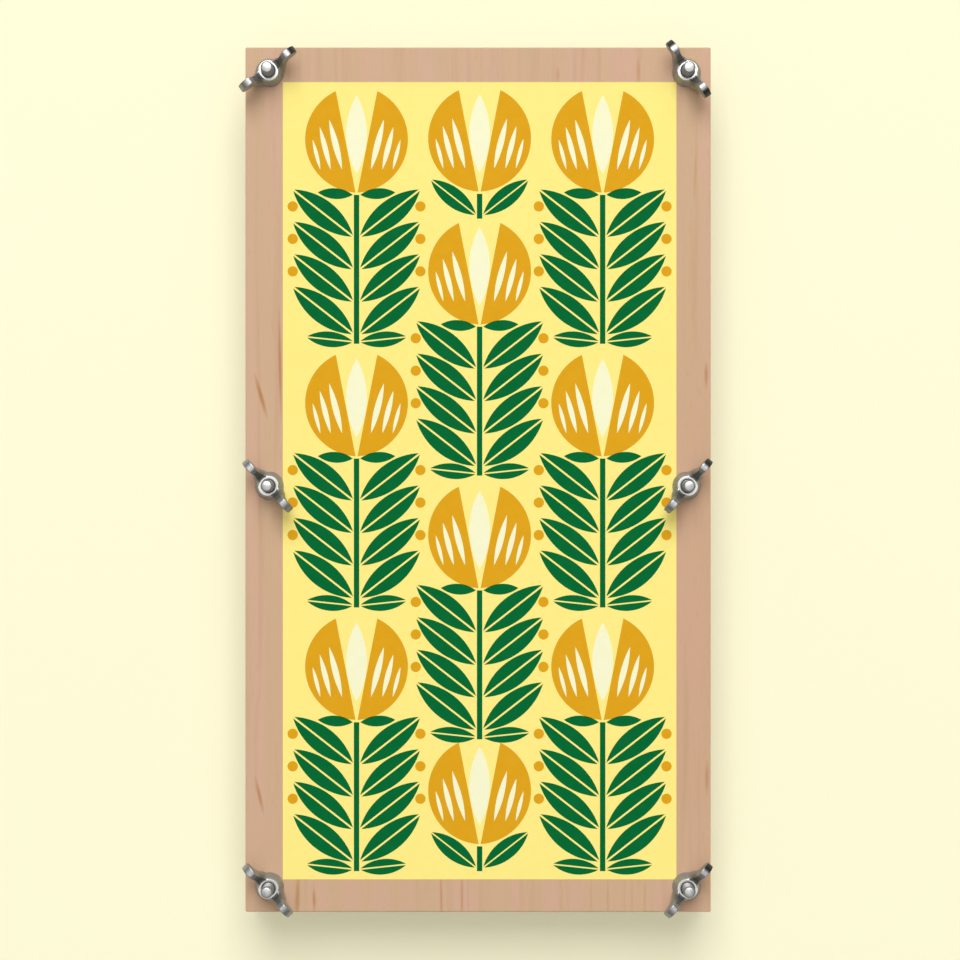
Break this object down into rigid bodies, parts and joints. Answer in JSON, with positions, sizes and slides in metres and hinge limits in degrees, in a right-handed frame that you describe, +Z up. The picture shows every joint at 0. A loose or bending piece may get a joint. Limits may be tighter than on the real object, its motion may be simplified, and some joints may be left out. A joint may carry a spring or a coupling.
{
  "type": "flower press",
  "caption": "Flower press with plywood boards that wing nuts on carriage bolts draw together on a pack of corrugated cards and blotting papers, under a printed botanical panel.",
  "frame": {"origin": "centre of the lower board's underside, the face that the press lies on", "axes": "+Y along the boards' long side, towards the end that is up in the picture; +X across the boards, to the right in the picture; +Z up through the boards"},
  "size_m": [0.2272, 0.4208, 0.0641],
  "materials": {
    "plywood": "satin",
    "printed_film": "matt",
    "corrugated_card": "matt",
    "blotting_paper": "matt",
    "bolt_zinc": "zinc plated",
    "nut_zinc": "zinc plated"
  },
  "bodies": {
    "base": {"lower_board": "plywood", "carriage_bolt_upper_left": "bolt_zinc", "carriage_bolt_upper_right": "bolt_zinc", "carriage_bolt_middle_left": "bolt_zinc", "carriage_bolt_middle_right": "bolt_zinc", "carriage_bolt_lower_left": "bolt_zinc", "carriage_bolt_lower_right": "bolt_zinc"},
    "press_plate": {"upper_board": "plywood", "printed_film": "printed_film"},
    "nut_upper_left": {"wing_nut_upper_left": "nut_zinc"},
    "nut_upper_right": {"wing_nut_upper_right": "nut_zinc"},
    "nut_middle_left": {"wing_nut_middle_left": "nut_zinc"},
    "nut_middle_right": {"wing_nut_middle_right": "nut_zinc"},
    "nut_lower_left": {"wing_nut_lower_left": "nut_zinc"},
    "nut_lower_right": {"wing_nut_lower_right": "nut_zinc"},
    "leaf_1": {"corrugated_card_1": "corrugated_card", "blotting_paper_1": "blotting_paper"},
    "leaf_2": {"blotting_paper_2": "blotting_paper", "corrugated_card_2": "corrugated_card", "blotting_paper_3": "blotting_paper"},
    "leaf_3": {"blotting_paper_4": "blotting_paper", "corrugated_card_3": "corrugated_card", "blotting_paper_5": "blotting_paper"},
    "leaf_4": {"blotting_paper_6": "blotting_paper", "corrugated_card_4": "corrugated_card", "blotting_paper_7": "blotting_paper"},
    "leaf_5": {"blotting_paper_8": "blotting_paper", "corrugated_card_5": "corrugated_card"}
  },
  "joints": [
    {"name": "nut_upper_left_turn", "type": "hinge", "parent": "press_plate", "child": "nut_upper_left", "pos_m": [-0.1008, 0.1967, 0.04457], "axis": [0, 0, 1], "range_deg": [0, 3960.1]},
    {"name": "nut_upper_right_turn", "type": "hinge", "parent": "press_plate", "child": "nut_upper_right", "pos_m": [0.1008, 0.1967, 0.04457], "axis": [0, 0, 1], "range_deg": [0, 3960.1]},
    {"name": "nut_middle_left_turn", "type": "hinge", "parent": "press_plate", "child": "nut_middle_left", "pos_m": [-0.1008, -0.003, 0.04457], "axis": [0, 0, 1], "range_deg": [0, 3960.1]},
    {"name": "nut_middle_right_turn", "type": "hinge", "parent": "press_plate", "child": "nut_middle_right", "pos_m": [0.1008, -0.003, 0.04457], "axis": [0, 0, 1], "range_deg": [0, 3960.1]},
    {"name": "nut_lower_left_turn", "type": "hinge", "parent": "press_plate", "child": "nut_lower_left", "pos_m": [-0.1008, -0.1967, 0.04457], "axis": [0, 0, 1], "range_deg": [0, 3960.1]},
    {"name": "nut_lower_right_turn", "type": "hinge", "parent": "press_plate", "child": "nut_lower_right", "pos_m": [0.1008, -0.1967, 0.04457], "axis": [0, 0, 1], "range_deg": [0, 3960.1]},
    {"name": "press_plate_lift", "type": "slide", "parent": "base", "child": "press_plate", "axis": [0, 0, 1], "range_m": [0, 0.011]},
    {"name": "leaf_1_draw", "type": "slide", "parent": "base", "child": "leaf_1", "axis": [0, -1, 0], "range_m": [0, 0.41]},
    {"name": "leaf_2_draw", "type": "slide", "parent": "base", "child": "leaf_2", "axis": [0, -1, 0], "range_m": [0, 0.41]},
    {"name": "leaf_3_draw", "type": "slide", "parent": "base", "child": "leaf_3", "axis": [0, -1, 0], "range_m": [0, 0.41]},
    {"name": "leaf_4_draw", "type": "slide", "parent": "base", "child": "leaf_4", "axis": [0, -1, 0], "range_m": [0, 0.41]},
    {"name": "leaf_5_draw", "type": "slide", "parent": "base", "child": "leaf_5", "axis": [0, -1, 0], "range_m": [0, 0.41]}
  ],
  "couplings": [
    {"joint": "nut_upper_left_turn", "follows": "press_plate_lift", "rad_per_m": 6283.2},
    {"joint": "nut_upper_right_turn", "follows": "press_plate_lift", "rad_per_m": 6283.2},
    {"joint": "nut_middle_left_turn", "follows": "press_plate_lift", "rad_per_m": 6283.2},
    {"joint": "nut_middle_right_turn", "follows": "press_plate_lift", "rad_per_m": 6283.2},
    {"joint": "nut_lower_left_turn", "follows": "press_plate_lift", "rad_per_m": 6283.2},
    {"joint": "nut_lower_right_turn", "follows": "press_plate_lift", "rad_per_m": 6283.2}
  ]
}
